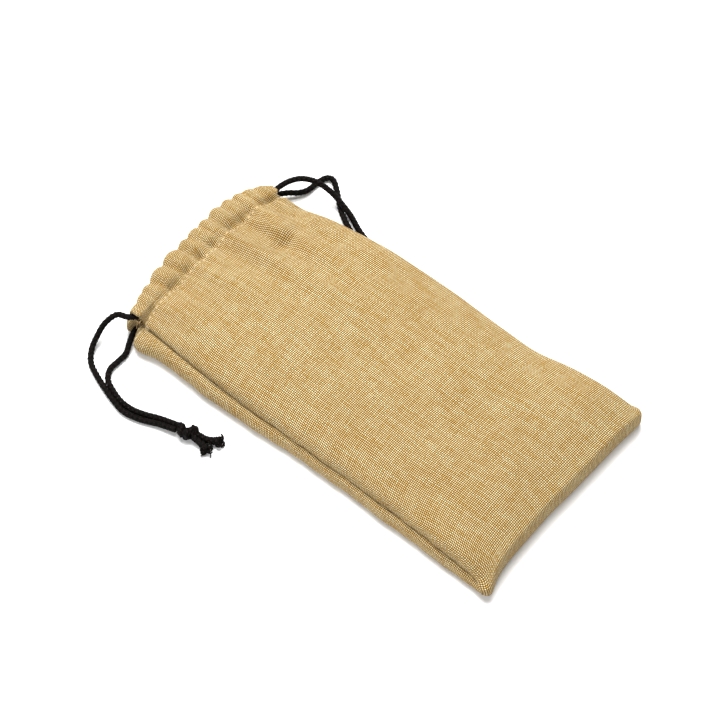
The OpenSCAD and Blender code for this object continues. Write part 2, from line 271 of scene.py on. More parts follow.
def herb_material():
    n = Nodes("dried herbs")
    bit = n.node("ShaderNodeTexVoronoi", Scale=420.0, Vector=n.place())
    shade = n.node("ShaderNodeSeparateXYZ", Vector=bit.outputs["Color"])
    colour = n.mix(shade.outputs[0], srgb(86, 82, 40), srgb(160, 138, 74))
    colour = n.mix(n.spread(shade.outputs[1], 0.75, 0.8), colour, srgb(196, 168, 110))
    n.bump(bit.outputs["Distance"], 0.0012, 0.9)
    return n.finish(colour, 0.9, 0.05)


THREAD, CORD, HERBS = thread_material(), cord_material(), herb_material()


# ---------------------------------------- the stitching's line, and pieces baked in place
STITCH_X = -79.5  # the stitching between the casings and the body


def gathers(obj):
    """Bakes the piece's placement into its points."""
    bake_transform(obj)
    co = np.zeros(len(obj.data.vertices) * 3)
    obj.data.vertices.foreach_get("co", co)
    return obj


# ---------------------------------------- tubes
class Soup:
    """Points and faces of one piece that is made of many small parts."""

    def __init__(self):
        self.verts, self.faces, self.uvs = [], [], []

    def add(self, rings, uv_rings=None):
        """A run of closed rings, capped at both ends."""
        base, (m, n) = len(self.verts), rings.shape[:2]
        self.verts += list(rings.reshape(-1, 3))
        for i in range(m - 1):
            for j in range(n):
                a, b = base + i * n + j, base + i * n + (j + 1) % n
                self.faces.append((a, b, b + n, a + n))
                if uv_rings is None:
                    self.uvs += [(0, 0)] * 4
                else:
                    u0, u1 = uv_rings[i], uv_rings[i + 1]
                    self.uvs += [(u0, j / n), (u0, (j + 1) / n), (u1, (j + 1) / n), (u1, j / n)]
        for ids in (range(n - 1, -1, -1), range((m - 1) * n, m * n)):
            self.faces.append(tuple(base + k for k in ids))
            self.uvs += [(0, 0)] * n

    def piece(self, name, material):
        return mesh_object(name, self.verts, self.faces, material, self.uvs)


def frames(path):
    """Tangents and two sideways directions that don't spin along a path."""
    t = np.gradient(path, axis=0)
    t /= np.linalg.norm(t, axis=1)[:, None]
    side = np.cross(t[0], [0, 0, 1.0] if abs(t[0][2]) < 0.9 else [1.0, 0, 0])
    sides = []
    for k in t:
        side = side - (side @ k) * k
        side /= np.linalg.norm(side)
        sides.append(side)
    sides = np.array(sides)
    return t, sides, np.cross(t, sides)


def tube(soup, path, radius, sides=8, relief=None):
    """A round tube along a path; radius is one number or one for each point."""
    _, a, b = frames(path)
    along = np.concatenate([[0], np.cumsum(np.linalg.norm(np.diff(path, axis=0), axis=1))])
    angle = np.arange(sides) * 2 * math.pi / sides
    r = np.broadcast_to(np.asarray(radius, float).reshape(-1, 1), (len(path), sides)).copy()
    if relief is not None:
        r *= 1 + relief(along[:, None], angle[None, :])
    rings = path[:, None, :] + r[:, :, None] * (
        np.cos(angle)[None, :, None] * a[:, None, :] + np.sin(angle)[None, :, None] * b[:, None, :])
    soup.add(rings, along)


def spline(points, step):
    """A smooth path through a few points, at nearly equal steps."""
    p = np.asarray(points, float)
    p = np.concatenate([[2 * p[0] - p[1]], p, [2 * p[-1] - p[-2]]])
    out = []
    for a, b, c, d in zip(p, p[1:], p[2:], p[3:]):
        t = np.linspace(0, 1, 24, endpoint=False)[:, None]
        square, cube = (2 * a - 5 * b + 4 * c - d) * t**2, (3 * b - a - 3 * c + d) * t**3
        out.append(0.5 * (2 * b + (c - a) * t + square + cube))
    path = np.concatenate([*out, [p[-2]]])
    length = np.linalg.norm(np.diff(path, axis=0), axis=1).sum()
    return resample(path, max(2, round(length / step)))[0]


def stitch_row(soup, line, lift, dash, gap, rise=0.16, radius=0.18):
    """Stitches along a line of surface points, raised along lift at their middle and sunk at their ends."""
    d = np.concatenate([[0], np.cumsum(np.linalg.norm(np.diff(line, axis=0), axis=1))])
    at = gap
    while at + dash < d[-1]:
        size = dash * rng.uniform(0.85, 1.1)
        q = np.linspace(at, at + size, 7)
        mid = np.stack([np.interp(q, d, line[:, k]) for k in range(3)], 1)
        up = np.stack([np.interp(q, d, lift[:, k]) for k in range(3)], 1)
        arch = np.sin(np.linspace(0, math.pi, 7))[:, None]
        mid = mid + up * (rise * 2.2 * arch - rise * 0.9) + rng.normal(0, 0.05, 3)
        tube(soup, mid, radius * (0.75 + 0.25 * arch[:, 0]), 7,
             lambda l, a: 0.10 * np.cos(2 * a + 9 * l))
        at += size + gap * rng.uniform(0.8, 1.25)


# ---------------------------------------- cords
CORD_D = 2.1
BRAID_RELIEF = 0.22  # share of the radius
RELIEF_REACH = 1 + BRAID_RELIEF + 0.01
STRAND_R = CORD_D / 2 + 0.04
RUN_R = 1.0  # a run is drawn a little thinner inside its casing
FILAMENTS = 22  # loose threads at each frayed end
HOOK_STEPS = 9  # points along each of them
FRONT_Z, BACK_Z = 11.4, 3.0  # heights of the cords in the two casings
END_Y = 38.5  # where the casings end, to each side
# Each strand from its slit to its knot, in millimetres
ROUTES = {
    "left_cord_front_strand": [
        [-83.5, -38.5, 11.4], [-83.8, -40.5, 11.5], [-86, -42.6, 11.4], [-90.5, -43.8, 10.1], [-93, -48, 7],
        [-93, -53, 4], [-91.5, -58.3, 2], [-88, -62.7, 1.2], [-82.5, -65.6, 1.1], [-76.6, -67.9, 1.1],
        [-70.5, -69.9, 1.1], [-64, -71.3, 1.1], [-57, -70, 1.1], [-50, -67.3, 1.7], [-42.8, -65.4, 2.4]],
    "left_cord_back_strand": [
        [-83.5, -38.5, 3], [-83.6, -41, 3], [-83.1, -44, 2.8], [-81.8, -47.5, 2], [-80.2, -51.5, 1.2],
        [-80.3, -56, 1.1], [-80.4, -60.3, 1.1], [-77.9, -64.4, 1.1], [-73, -66.9, 1.1], [-67.7, -68.5, 1.1],
        [-62.5, -68.6, 1.1], [-57.5, -67.4, 1.2], [-51, -65.1, 1.7], [-43.2, -63.2, 2.4]],
    "right_cord_front_strand": [
        [-81, 38.5, 11.4], [-80.8, 42, 11.4], [-79, 46, 11.3], [-76, 49.4, 10.7], [-72, 52, 9.3],
        [-67.5, 53.6, 7.6], [-62.5, 54, 5.8], [-57, 53.2, 4], [-51.5, 51.8, 2.5], [-46, 49.4, 1.4],
        [-40.5, 47.4, 1.1], [-35, 46.7, 1.1], [-29.5, 46.8, 1.3], [-24, 47.4, 1.9]],
    "right_cord_back_strand": [
        [-81, 38.5, 3], [-80.6, 41.5, 3], [-78, 44.8, 2.8], [-75, 48, 2], [-73.2, 52, 1.2],
        [-72.6, 56.5, 1.1], [-71.2, 60.6, 1.1], [-68, 61.4, 1.1], [-62, 56.6, 1.1], [-57, 52.2, 1.1],
        [-51, 48.4, 1.1], [-44.5, 45.6, 1.1], [-37, 44.4, 1.1], [-30, 44.5, 1.2], [-24, 45.3, 1.7]],
}
END_ROUTES = {
    "left": [[[-34.4, -61.8, 2.6], [-30.4, -60.9, 2.0], [-25.4, -57.4, 1.5]],
             [[-34.8, -63.9, 2.4], [-31.2, -63.9, 1.8], [-26.9, -65, 1.5]]],
    "right": [[[-17.3, 47.8, 2.2], [-11, 47.4, 1.4], [-5.5, 46.7, 1.2]],
              [[-17.3, 45.7, 1.9], [-11.5, 45, 1.3], [-6, 44.2, 1.2]]],
}
# Each knot's place, turn in degrees and size
KNOTS = {"left": ([-39.2, -63.8, 2.95], 22, 1.0), "right": ([-20.8, 47.3, 2.3], 4, 0.76)}


def braid(along, angle):
    """Relief of the braid: plaits that cross in diamonds."""
    wave = np.cos(4 * angle) * np.cos(along * 2 * math.pi / 1.9)
    return BRAID_RELIEF * np.sign(wave) * np.abs(wave) ** 0.75


def braided(soup, path, radius=STRAND_R):
    """A tube with the braid's relief."""
    tube(soup, path, radius, 24, braid)


def frayed_end(soup, path, size):
    """A cord's end: the braid, which swells as it loosens, then its loose filaments, which curl."""
    body = path[: int(len(path) * 0.86)].copy()
    radius = size * (1.12 + 0.4 * smoothstep(np.linspace(0, 1, len(body)), 0.25, 0.95))
    body[:, 2] = np.maximum(body[:, 2], RELIEF_REACH * radius)
    braided(soup, body, radius)
    tip, before = path[int(len(path) * 0.82)], path[int(len(path) * 0.74)]
    ahead = (tip - before) / np.linalg.norm(tip - before)
    aside = np.cross(ahead, [0, 0, 1.0])
    for _ in range(FILAMENTS):
        turn, out = rng.uniform(0, 2 * math.pi), rng.uniform(0.1, 1.0)
        spread = out * (math.cos(turn) * aside + math.sin(turn) * np.array([0, 0, 1.0]))
        reach, spin = size ** 2 * rng.uniform(1.8, 4.2), rng.uniform(0.15, 0.62)
        sense = rng.choice([-1, 1])
        points = [tip + spread * 1.1]
        heading = ahead + 0.5 * spread
        for _ in range(HOOK_STEPS):
            # Each one bends into a hook of its own
            side_on = np.cross([0, 0, 1.0], heading) * sense
            heading = heading + spin * side_on + 0.1 * spread + rng.normal(0, 0.08, 3)
            heading /= np.linalg.norm(heading)
            points.append(points[-1] + heading * reach / HOOK_STEPS)
        points = np.array(points)
        points[:, 2] = np.clip(points[:, 2], 0.32, 4.0 * size ** 2)
        tube(soup, spline(points, 0.25), rng.uniform(0.18, 0.34), 6)


# The turns of a knot drawn tight: shift, roll and lean in degrees, and size
KNOT_TURNS = [((-1.9, 0.2, -0.05), 20, 18, 0.62), ((1.0, -0.5, -0.1), 95, -22, 0.6),
              ((3.0, 1.0, -0.3), 150, 12, 0.5)]


def rotation(degrees, a, b):
    """A turn from axis a towards axis b."""
    angle = math.radians(degrees)
    turned = np.eye(3)
    turned[a, a] = turned[b, b] = math.cos(angle)
    turned[a, b], turned[b, a] = -math.sin(angle), math.sin(angle)
    return turned


def knot_turns(soup, at, turn, size):
    """Overhand turns drawn tight beside each other."""
    t = np.linspace(-math.pi * 0.97, math.pi * 0.97, 120)
    trefoil = np.stack([-np.sin(3 * t) * 0.8, np.sin(t) + 2 * np.sin(2 * t),
                        np.cos(t) - 2 * np.cos(2 * t)], 1)
    for shift, roll, lean, grow in KNOT_TURNS:
        path = (trefoil * grow * size) @ rotation(roll, 1, 2).T @ rotation(lean, 0, 1).T
        path = (path + np.array(shift) * size) @ rotation(turn, 0, 1).T + np.array(at)
        radius = 1.2 * size ** 0.5
        path[:, 2] = np.clip(path[:, 2], RELIEF_REACH * radius, 4.9 * size - 0.3 * (size < 1))
        braided(soup, resample(path, 110)[0], radius)


FAR_DROP = 3.9  # mm
CASING_X = -85  # the casings' middle line


def far_sag(x, y):
    """Share of the drop by which the far end of the mouth hangs below the near end."""
    return smoothstep(y, 14, 42) * (1 - smoothstep(x, -80, -56))


def casing_sag(path, share):
    """Lowers a path with the far end of the mouth."""
    out = path.copy()
    out[:, 2] -= FAR_DROP * far_sag(CASING_X, path[:, 1]) * share
    return out


strands = {}
for name, route in ROUTES.items():
    path = spline(route, 0.28)
    if name.startswith("right_cord_front"):
        # It leaves the lowered end of the front casing and is back on its route within a few millimetres
        gone = np.linspace(0, 1, len(path))
        lowered = [-0.6, 0.0, FAR_DROP * far_sag(CASING_X, END_Y)]
        path = path - np.outer(1 - smoothstep(gone, 0.0, 0.3), lowered)
    path[:, 2] = np.maximum(path[:, 2], RELIEF_REACH * STRAND_R)  # it lies on the floor
    soup = Soup()
    braided(soup, path)
    strand = soup.piece(name + "_braid", CORD)
    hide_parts(name)
    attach(strand, name.split("_")[0] + "_drawstring")
    strands[name] = strand, path

for side, (at, turn, size) in KNOTS.items():
    body = side + "_drawstring"
    soup = Soup()
    # The right one lies under the overhang of the far side
    hidden = np.array([0.0, -1.3, 0.0]) if side == "right" else np.zeros(3)
    knot_turns(soup, at + hidden, turn, size)
    knot = soup.piece(f"{side}_knot_turns", CORD)
    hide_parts(f"{side}_cord_knot")
    soup = Soup()
    for route in END_ROUTES[side]:
        route = np.array(route) + hidden
        start = route[0] + (route[0] - route[1]) * 0.35
        frayed_end(soup, spline([start, *route], 0.28), size)
    tail = soup.piece(f"{side}_frayed_ends", CORD)
    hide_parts(f"{side}_cord_ends")
    # The run through both casings and its turn at the far slit
    sign, x = (1, -83.5) if side == "left" else (-1, -81.0)
    turn_a = np.radians(np.linspace(90, -90, 9))
    turn_y = 31.0
    arc = [[x, sign * (turn_y + math.cos(a)), 7.2 + 4.2 * math.sin(a)] for a in turn_a]
    straight = np.linspace(-END_Y, turn_y - 1, 14)
    route = [[x, sign * y, FRONT_Z] for y in straight] + arc + [[x, sign * y, BACK_Z] for y in straight[::-1]]
    path = spline(route, 0.3)
    # Each run keeps clear of the other one, wherever the cords are drawn to
    from_exit = smoothstep(END_Y + sign * path[:, 1], 1.0, 9.0)
    path[:, 0] -= from_exit * (2.2 if side == "left" else 1.9)
    path[:, 2] -= 1.3 * from_exit * smoothstep(path[:, 2], 7, 10)
    path = casing_sag(path, smoothstep(path[:, 2], 3.5, 11))
    soup = Soup()
    braided(soup, path, RUN_R)
    run = soup.piece(f"{side}_run_braid", CORD)
    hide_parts(f"{side}_cord_run")
    for piece in (knot, tail, run):
        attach(piece, body)
    for part, extra in (("front", [knot]), ("back", [tail])):
        strand, path = strands[f"{side}_cord_{part}_strand"]


# ---------------------------------------- shape of the pouch, in millimetres
EDGE_X = -92.6  # the mouth's edge at its middle
BOTTOM_X = 89.8  # the bottom fold at its middle
BODY_LENGTH = 171.6  # from the bottom fold to the stitching
LINING = 1.1  # how far inside the cloth's outer face its inner face lies
RIM = 0.62  # share that a casing's end narrows to at its rim
# Lines and heights of the body, each as a few (place along it, value) pairs
near_groove_line = table_curve([
    (-93, -39.6), (-79.5, -40.2), (-74, -40.7), (-60, -41.9), (-34.5, -43.2), (0, -43.4), (39, -43.9),
    (59, -44.9), (74, -45.7), (93, -46.6)], 4)
near_lip_line = table_curve([
    (-93, -41.6), (-89, -43.6), (-85, -45.0), (-82, -45.6), (-78.5, -48.8), (-75, -48.3), (-71, -46.6),
    (-66, -46.2), (-58, -46.8), (-45, -47.4), (-25, -47.4), (-13, -46.5), (14, -46.2), (38, -47.1),
    (67, -47.8), (93, -49.0)], 2.2)
far_groove = table_curve([
    (-93, 37.8), (-79.5, 37.5), (-72, 38.5), (-65, 40.6), (-57, 42.7), (-31, 45.6), (2, 45.7), (22, 44.3),
    (43, 43.5), (58, 46.6), (70, 47.7), (81, 48.0), (93, 48.3)], 4)
far_lip = table_curve([
    (-93, 39.4), (-85, 41.2), (-79.3, 41.4), (-72, 40.9), (-65, 41.9), (-60, 43.0), (-52, 44.2),
    (-31, 46.0), (-4, 46.6), (6, 47.4), (22, 46.4), (43, 45.8), (58, 48.2), (70, 48.8), (93, 49.0)], 2.5)
# How far the far side is tucked in at the floor, where the right cord lies along it
far_tuck = table_curve([(-78, 0.0), (-66, 1.2), (-55, 3.4), (-46, 4.2), (-22, 5.2), (-3, 5.2), (9, 0.0)], 3)
bottom_edge = table_curve([
    (-50, 93.3), (-47, 93.1), (-44, 92.0), (-40, 90.3), (-35, 89.5), (-28, 89.2), (-6, 89.4), (3, 90.2),
    (20, 91.2), (35, 92.0), (42, 92.8), (50, 93.6)], 2)
seam_height = table_curve([
    (-93, 8.0), (-60, 7.9), (-34.5, 7.3), (0, 6.9), (59, 6.9), (74, 6.4), (93, 4.8)], 6)
crown_height = table_curve([
    (0, 10.5), (2.2, 11.2), (4.5, 11.6), (8, 12.5), (13, 13.5), (20, 14.5), (32, 15.0), (120, 15.1),
    (155, 14.5), (172, 13.4)], 1.2)
crown_power = table_curve([(-80, 2.3), (-60, 2.7), (-40, 3.2), (60, 3.6), (93, 5.0)], 8)


def near_groove(x):
    """The near seam's groove, with the cloth's small waves along it."""
    wave = 0.16 * np.sin(0.34 * x + 1.2 * np.sin(0.11 * x)) + 0.09 * np.sin(0.93 * x + 1)
    return near_groove_line(x) + wave * smoothstep(x, -50, 10)


def near_lip(x):
    """The outermost line of the near side, with waves of its own."""
    wave = 0.18 * np.sin(0.23 * x + 2) + 0.1 * np.sin(0.61 * x + 1.5 * np.sin(0.09 * x))
    return near_lip_line(x) + wave * smoothstep(x, -72, -60)


stitch_edge = table_curve([
    (-45, -79.3), (-20, -79.6), (10, -79.3), (28, -78.8), (35, -77.2), (40, -75.6), (45, -74.6)], 1.6)

# Folds that the gathers send into the front panel: place across, drift, height, half width, length
PANEL_FOLDS = [
    (9.5, 0.10, 1.7, 2.8, 32), (27.5, -0.06, 2.0, 3.0, 28), (18.5, 0.02, -1.9, 2.6, 32),
    (1.5, 0.12, -1.2, 2.8, 22), (-9.0, 0.08, 1.0, 3.0, 20), (-20.0, 0.10, -0.8, 3.0, 22),
    (-31.0, 0.12, 1.2, 3.2, 24), (34.0, -0.1, -1.3, 2.2, 24), (-26, 0.3, 0.5, 4.0, 30)]
# Gathers of the front casing: valley at the edge, at the stitching, depth at each
VALLEYS = [
    (-36.4, -34.8, 0.9, 0.5), (-31.8, -29.0, 0.7, 0.5), (-26.3, -22.3, 1.8, 1.7),
    (-17.3, -13.4, 1.7, 1.3), (-7.6, -5.0, 1.9, 2.0), (-1.6, 2.6, 1.5, 1.0), (4.9, 7.4, 1.4, 0.4),
    (10.8, 12.9, 1.8, 2.0), (18.2, 18.6, 1.6, 0.8), (24.3, 23.6, 1.7, 1.9), (29.3, 30.2, 1.3, 0.7),
    (33.8, 34.6, 0.8, 0.7)]
PUFFS = [(edge, stitch, at_edge, 1.5 * at_stitch + 0.9) for edge, stitch, at_edge, at_stitch in VALLEYS]
BACK_VALLEYS = [(y, y + 1.5 * math.sin(y), 1.1, 0.7)
                for y in (-33, -25.5, -18.8, -11, -3.5, 3.2, 11.5, 18.3, 26, 32.8)]

COLS = 112  # columns across each side of the cloth
BOTTOM_NEAR, BOTTOM_FAR = 48.9, 49.0  # mm from the middle to the bottom fold's two ends
ROUND_OVER = 1.7  # mm, how far the bottom fold takes to reach its full height
ROUND_POWER = 3.0


def valleys(table, y, share):
    """Depth of the gathers at y; share runs from 0 at the stitching to 1 at the edge."""
    depth = np.zeros_like(y)
    for at_edge, at_stitch, d_edge, d_stitch in table:
        centre = lerp(at_stitch, at_edge, share)
        depth += lerp(d_stitch, d_edge, share) * np.exp(-(np.abs(y - centre) / lerp(1.5, 1.9, share)) ** 1.15)
    return depth


VALLEY_LIMIT = 3.3  # mm, so that no gather reaches the cord in the casing


def panel_folds(x, y):
    """Height that the gathers add to the front panel."""
    gone = STITCH_X - x
    rise = np.zeros_like(y)
    for place, drift, height, half, length in PANEL_FOLDS:
        height = height * (1.0 + 0.6 * smoothstep(-gone, 1, 9)) * (1.35 if place > 5 else 1.0)
        centre = place - drift * gone
        width = half * (1 - gone / 45)
        rise += height * np.exp(-((y - centre) / width) ** 2) * np.exp(gone / length * 1.2)
    rise -= 0.55 * valleys(VALLEYS, y, 0.0) * np.exp(gone / 5.0)
    # The cloth bulges at the far corner of the mouth, with a curved hollow round its near side
    away = np.hypot(x + 69, y - 23)
    turned = smoothstep((x + 69 - (y - 23)) / np.maximum(away, 1.0), -0.2, 0.9)
    rise += 1.0 * np.exp(-(away / 6.5) ** 2) - 1.4 * turned * np.exp(-((away - 10.5) / 2.4) ** 2)
    return rise - 4.2 * far_sag(x, y)


def crown_profile(x, s, inset):
    """(y, z) from the near groove over the top to the far groove."""
    y0, y1 = near_groove(x) + inset, far_groove(x) - inset
    seam, top, power = seam_height(x), crown_height(s) - inset, crown_power(x)
    near_ends = np.geomspace(1e-5, 0.08, 50)
    t = np.sort(np.concatenate([np.linspace(-1, 1, 260), -1 + near_ends, 1 - near_ends]))
    rise = (1 - np.abs(t) ** power) ** (1 / power)
    y = (y0 + y1) / 2 + (y1 - y0) / 2 * t
    z = seam + (top - seam) * rise
    tuck = 1.4 if inset == 0 else 0.0
    ends = [[y0 + tuck, seam - 0.9]], [[y1 - tuck, seam - 0.9]]
    return np.concatenate([ends[0], np.stack([y, z], 1), ends[1]])


def lip(groove, outer, seam, inset, side):
    """(outward, z) of one side from its groove down to the floor."""
    reach = max(abs(outer) - inset - (abs(groove) - 1.0), 1.2)
    core = abs(outer) - inset - reach
    low, high = 0.42 * seam, 0.58 * seam + 0.25
    a = np.radians(np.linspace(72, -90, 30))
    c, s = np.cos(a), np.sin(a)
    y = core + reach * np.abs(c) ** 0.85
    z = low + np.where(s > 0, high, low - inset) * np.sign(s) * np.abs(s) ** 0.9
    return np.stack([side * y, z], 1)


def tray_profile(x, inset):
    """(y, z) from the far groove round the underside to the near groove."""
    seam = seam_height(x)
    far = lip(far_groove(x), far_lip(x), seam, inset, 1)
    far[:, 0] -= far_tuck(x) * (1 - smoothstep(far[:, 1], 0.5, seam))
    near = lip(near_groove(x), near_lip(x), seam, inset, -1)[::-1]
    tuck = 1.4 if inset == 0 else 0.0
    g0, g1 = [[far_groove(x) - inset - tuck, seam - 0.9]], [[near_groove(x) + inset + tuck, seam - 0.9]]
    line = np.concatenate([g0, far, near, g1])
    line[:, 1] = np.maximum(line[:, 1], 0.08 + inset)
    return line


def wall_profile(x):
    """(y, z) of the back casing: an open tray whose walls stand up to the slits."""
    def side(outer, sign):
        top = 7.8 if sign < 0 else 5.6
        a = np.radians(np.linspace(0, 90, 12))
        foot = [[abs(outer) - 3.2 * (1 - math.cos(t)), 3.2 * (1 - math.sin(t))] for t in a]
        wall = [[abs(outer) - 2.2 * ((z - 3.2) / 4.6) ** 2, z] for z in np.linspace(top, 3.4, 8)]
        return np.array([[sign * y, z + 0.08] for y, z in wall + foot])
    return np.concatenate([side(far_lip(x), 1), side(near_lip(x), -1)[::-1]])


def body_rows():
    """Shares of the way from the bottom fold to the stitching, closest on the blunt end."""
    rise = np.array([0, 0.13, 0.26, 0.39, 0.51, 0.62, 0.72, 0.81, 0.88, 0.94, 0.98])
    face = ROUND_OVER * (1 - (1 - rise ** ROUND_POWER) ** (1 / ROUND_POWER))
    s = np.concatenate([face, [1.7, 2.2, 3.0, 4.0], np.arange(5.0, 169.6, 1.0), [170.2, 170.9, BODY_LENGTH]])
    return s / s[-1]


def body_sheet(top, shares, inset):
    """Rows of the body from the bottom fold to the stitching, as points and weave coordinates."""
    rows, weave = [], []
    even = resample(crown_profile(BOTTOM_X, 2.0, 0.0), COLS)[0][:, 0]
    even = np.where(even < 0, even * BOTTOM_NEAR / -even[2], even * BOTTOM_FAR / even[-3])
    even = even.clip(-BOTTOM_NEAR, BOTTOM_FAR)
    even = (even if top else even[::-1]) * (1 - inset / 50)
    corner_r = 3.2
    corner_y = 45.6  # where the bottom fold's rounded corners start
    past = np.clip(np.abs(even) - corner_y, 0, corner_r) / corner_r
    fold_x = bottom_edge(even) - corner_r * (1 - np.sqrt(np.clip(1 - past**2, 0, 1))) - inset
    fold_z = 3.7 + 0.5 * smoothstep(even, 36, 47) - 0.7 * smoothstep(-even, 38, 48)
    gone = 0.0
    for share in shares:
        s = share * BODY_LENGTH
        x_mid = lerp(BOTTOM_X - inset, STITCH_X, share)
        line = crown_profile(x_mid, s, inset) if top else tray_profile(x_mid, inset)
        yz, at = resample(line, COLS)
        settle = smoothstep(s, 0, 5.0)
        y = lerp(even, yz[:, 0], settle)
        z_full = yz[:, 1]
        edge = stitch_edge(y)
        x = lerp(fold_x, edge, share)
        grow = (1 - (1 - min(s / ROUND_OVER, 1)) ** ROUND_POWER) ** (1 / ROUND_POWER)
        # The near corner is thinner than the far one
        corner = (0.4 * smoothstep(-y, 38, 48) + 0.08 * smoothstep(y, 36, 48)) * (1 - smoothstep(s, 2, 16))
        z_full = fold_z + (z_full - fold_z) * (1 - corner)
        z = lerp(fold_z, z_full, grow)
        v = (at - at[-1] / 2) * (1 if top else -1) * (1 + 0.16 * smoothstep(-x_mid, 45, 80))
        rows.append(np.stack([x, y, z], 1))
        # The threads are counted along the cloth's own length
        if len(rows) > 1:
            step = (rows[-1] - rows[-2])[COLS // 4: -COLS // 4]
            gone += float(np.hypot(step[:, 0], step[:, 2]).mean())
        count = gone if inset == 0 else s
        weave.append(np.stack([np.full(COLS + 1, (count if top else -count)), v], 1))
    return np.array(rows), np.array(weave)


def front_casing_rows(stitch, inner_first):
    """From the stitching over the front casing, round its edge and back inside."""
    along = np.arange(COLS + 1) / COLS
    y_to = lerp(-41.0, 39.7, along)
    shape = []
    edge = EDGE_X + 5.6 * np.abs(y_to / 39.5) ** np.where(y_to > 0, 4.0, 2.6)
    edge = edge + 3.8 * (np.clip(y_to - 25, 0, 15) / 15) ** 2.6
    mid_z = 12.4 - 0.5 * (np.abs(y_to) / 40) ** 2 - FAR_DROP * far_sag(CASING_X, y_to)
    half = 2.9 - 0.5 * (np.abs(y_to) / 40) ** 4
    start = stitch[:, 0]
    # Steps along the top (0 to 1), round the edge (1 to 3) and back inside (3 to 4)
    quarter = np.linspace(0.12, 1, 8)
    steps = [[0.03, 0.07, 0.11, 0.16, 0.22], np.linspace(0.3, 1, 8), 1 + quarter, 2 + quarter,
             3 + np.linspace(0.12, 0.93, 7)]
    for q in np.concatenate(steps):
        turn = edge + half
        if q <= 1:  # top, from the stitching to where the edge rounds
            x, a, share = lerp(start, turn, q), 0.0, 0.8 * q
        elif q <= 3:
            a = (q - 1) * math.pi / 2
            x, share = turn - half * math.sin(a), 0.8 + 0.2 * min(q - 1, 1)
        else:
            x, a, share = lerp(turn, start, q - 3), math.pi, 1 - 0.8 * (q - 3)
        z = mid_z + (half + (0.8 if math.cos(a) < 0 else 0.0)) * math.cos(a)
        if q <= 1:
            settle, rise = smoothstep(q, 0, 0.55), smoothstep(q, -0.06, 0.46)
        elif q <= 3:
            settle, rise = 1.0, 1.0
        else:
            settle, rise = 1 - smoothstep(q - 3, 0.55, 1.0), 1 - smoothstep(q - 3, 0.7, 1.0)
        anchor = stitch if q <= 2 else inner_first
        y = lerp(anchor[:, 1], y_to, settle)
        z = lerp(anchor[:, 2], z, rise)
        deep = 1.3 * valleys(PUFFS, y, np.clip(share, 0, 1) ** 0.8)
        deep = VALLEY_LIMIT * np.tanh(deep / VALLEY_LIMIT) * (1.0 if q <= 2 else (1 - 0.7 * min(q - 2, 1)))
        deep = deep * (smoothstep(q, 0, 0.2) if q <= 1 else 1.0)
        puff = 0.35 * np.sin(y * 1.7 + q) * min(q, 1)
        nx, nz = -math.sin(a), math.cos(a)
        shape.append(np.stack([x - nx * deep, y, z - nz * (deep - puff * 0.4)], 1))
    return np.array(shape)


def back_casing_rows(stitch, inner_first):
    """From the stitching along the underside of the back casing, round its edge and back inside."""
    shape = []
    quarter = np.linspace(0.125, 1, 8)
    steps = np.concatenate([np.linspace(0.08, 1, 13), 1 + quarter, 2 + quarter,
                            3 + np.linspace(0.125, 0.93, 7)])
    half = 2.3
    for q in steps:
        base_q = min(q, 1) if q <= 3 else 1 - (q - 3)
        a = 0 if q <= 1 else min(q - 1, 2) * math.pi / 2
        x_ring = lerp(STITCH_X, -89.0, base_q)
        yz, _ = resample(wall_profile(x_ring), COLS)
        tangent = np.gradient(yz, axis=0)
        tangent /= np.linalg.norm(tangent, axis=1)[:, None]
        inward = np.stack([tangent[:, 1], -tangent[:, 0]], 1)
        edge = EDGE_X + np.where(yz[:, 0] < 0, 3.9, 5.6) * np.abs(yz[:, 0] / 40) ** 2.6
        turn = edge + half
        start = (stitch if q <= 2 else inner_first)
        x = lerp(start[:, 0], turn, base_q) - half * math.sin(a)
        settle = smoothstep(base_q, 0, 0.4)
        offset = half * (1 - math.cos(a))
        share = 0.8 * base_q + 0.2 * math.sin(a)
        deep = valleys(BACK_VALLEYS, yz[:, 0], share) * smoothstep(base_q, 0, 0.2)
        pull = offset + deep * math.cos(a) * np.clip(inward[:, 1], 0, 1)
        y = lerp(start[:, 1], yz[:, 0] + inward[:, 0] * pull, settle)
        z = lerp(start[:, 2], np.maximum(yz[:, 1] + inward[:, 1] * pull, 0.08), settle)
        x = x + deep * math.sin(a)
        # Each cord's lower strand leaves through a bite in the wall
        for cord_x, sign in ((-83.2, -1), (-80.2, 1)):
            bite = np.exp(-(np.abs((x - cord_x) / 1.9) ** 4)) * smoothstep(z, 0.4, 2.2)
            y = y + sign * (39.3 - np.maximum(sign * y, 39.3)) * bite
        shape.append(np.stack([x, y, z], 1))
    return np.array(shape)


def casing_weave(rows, first):
    """Weave coordinates that go on from a row at their real lengths."""
    gone = np.cumsum(np.linalg.norm(np.diff(rows, axis=0), axis=2), axis=0)
    sign = 1 if first[0, 0] > 0 else -1
    return np.stack([first[None, :, 0] + sign * gone, np.repeat(first[None, :, 1], len(gone), 0)], 2)


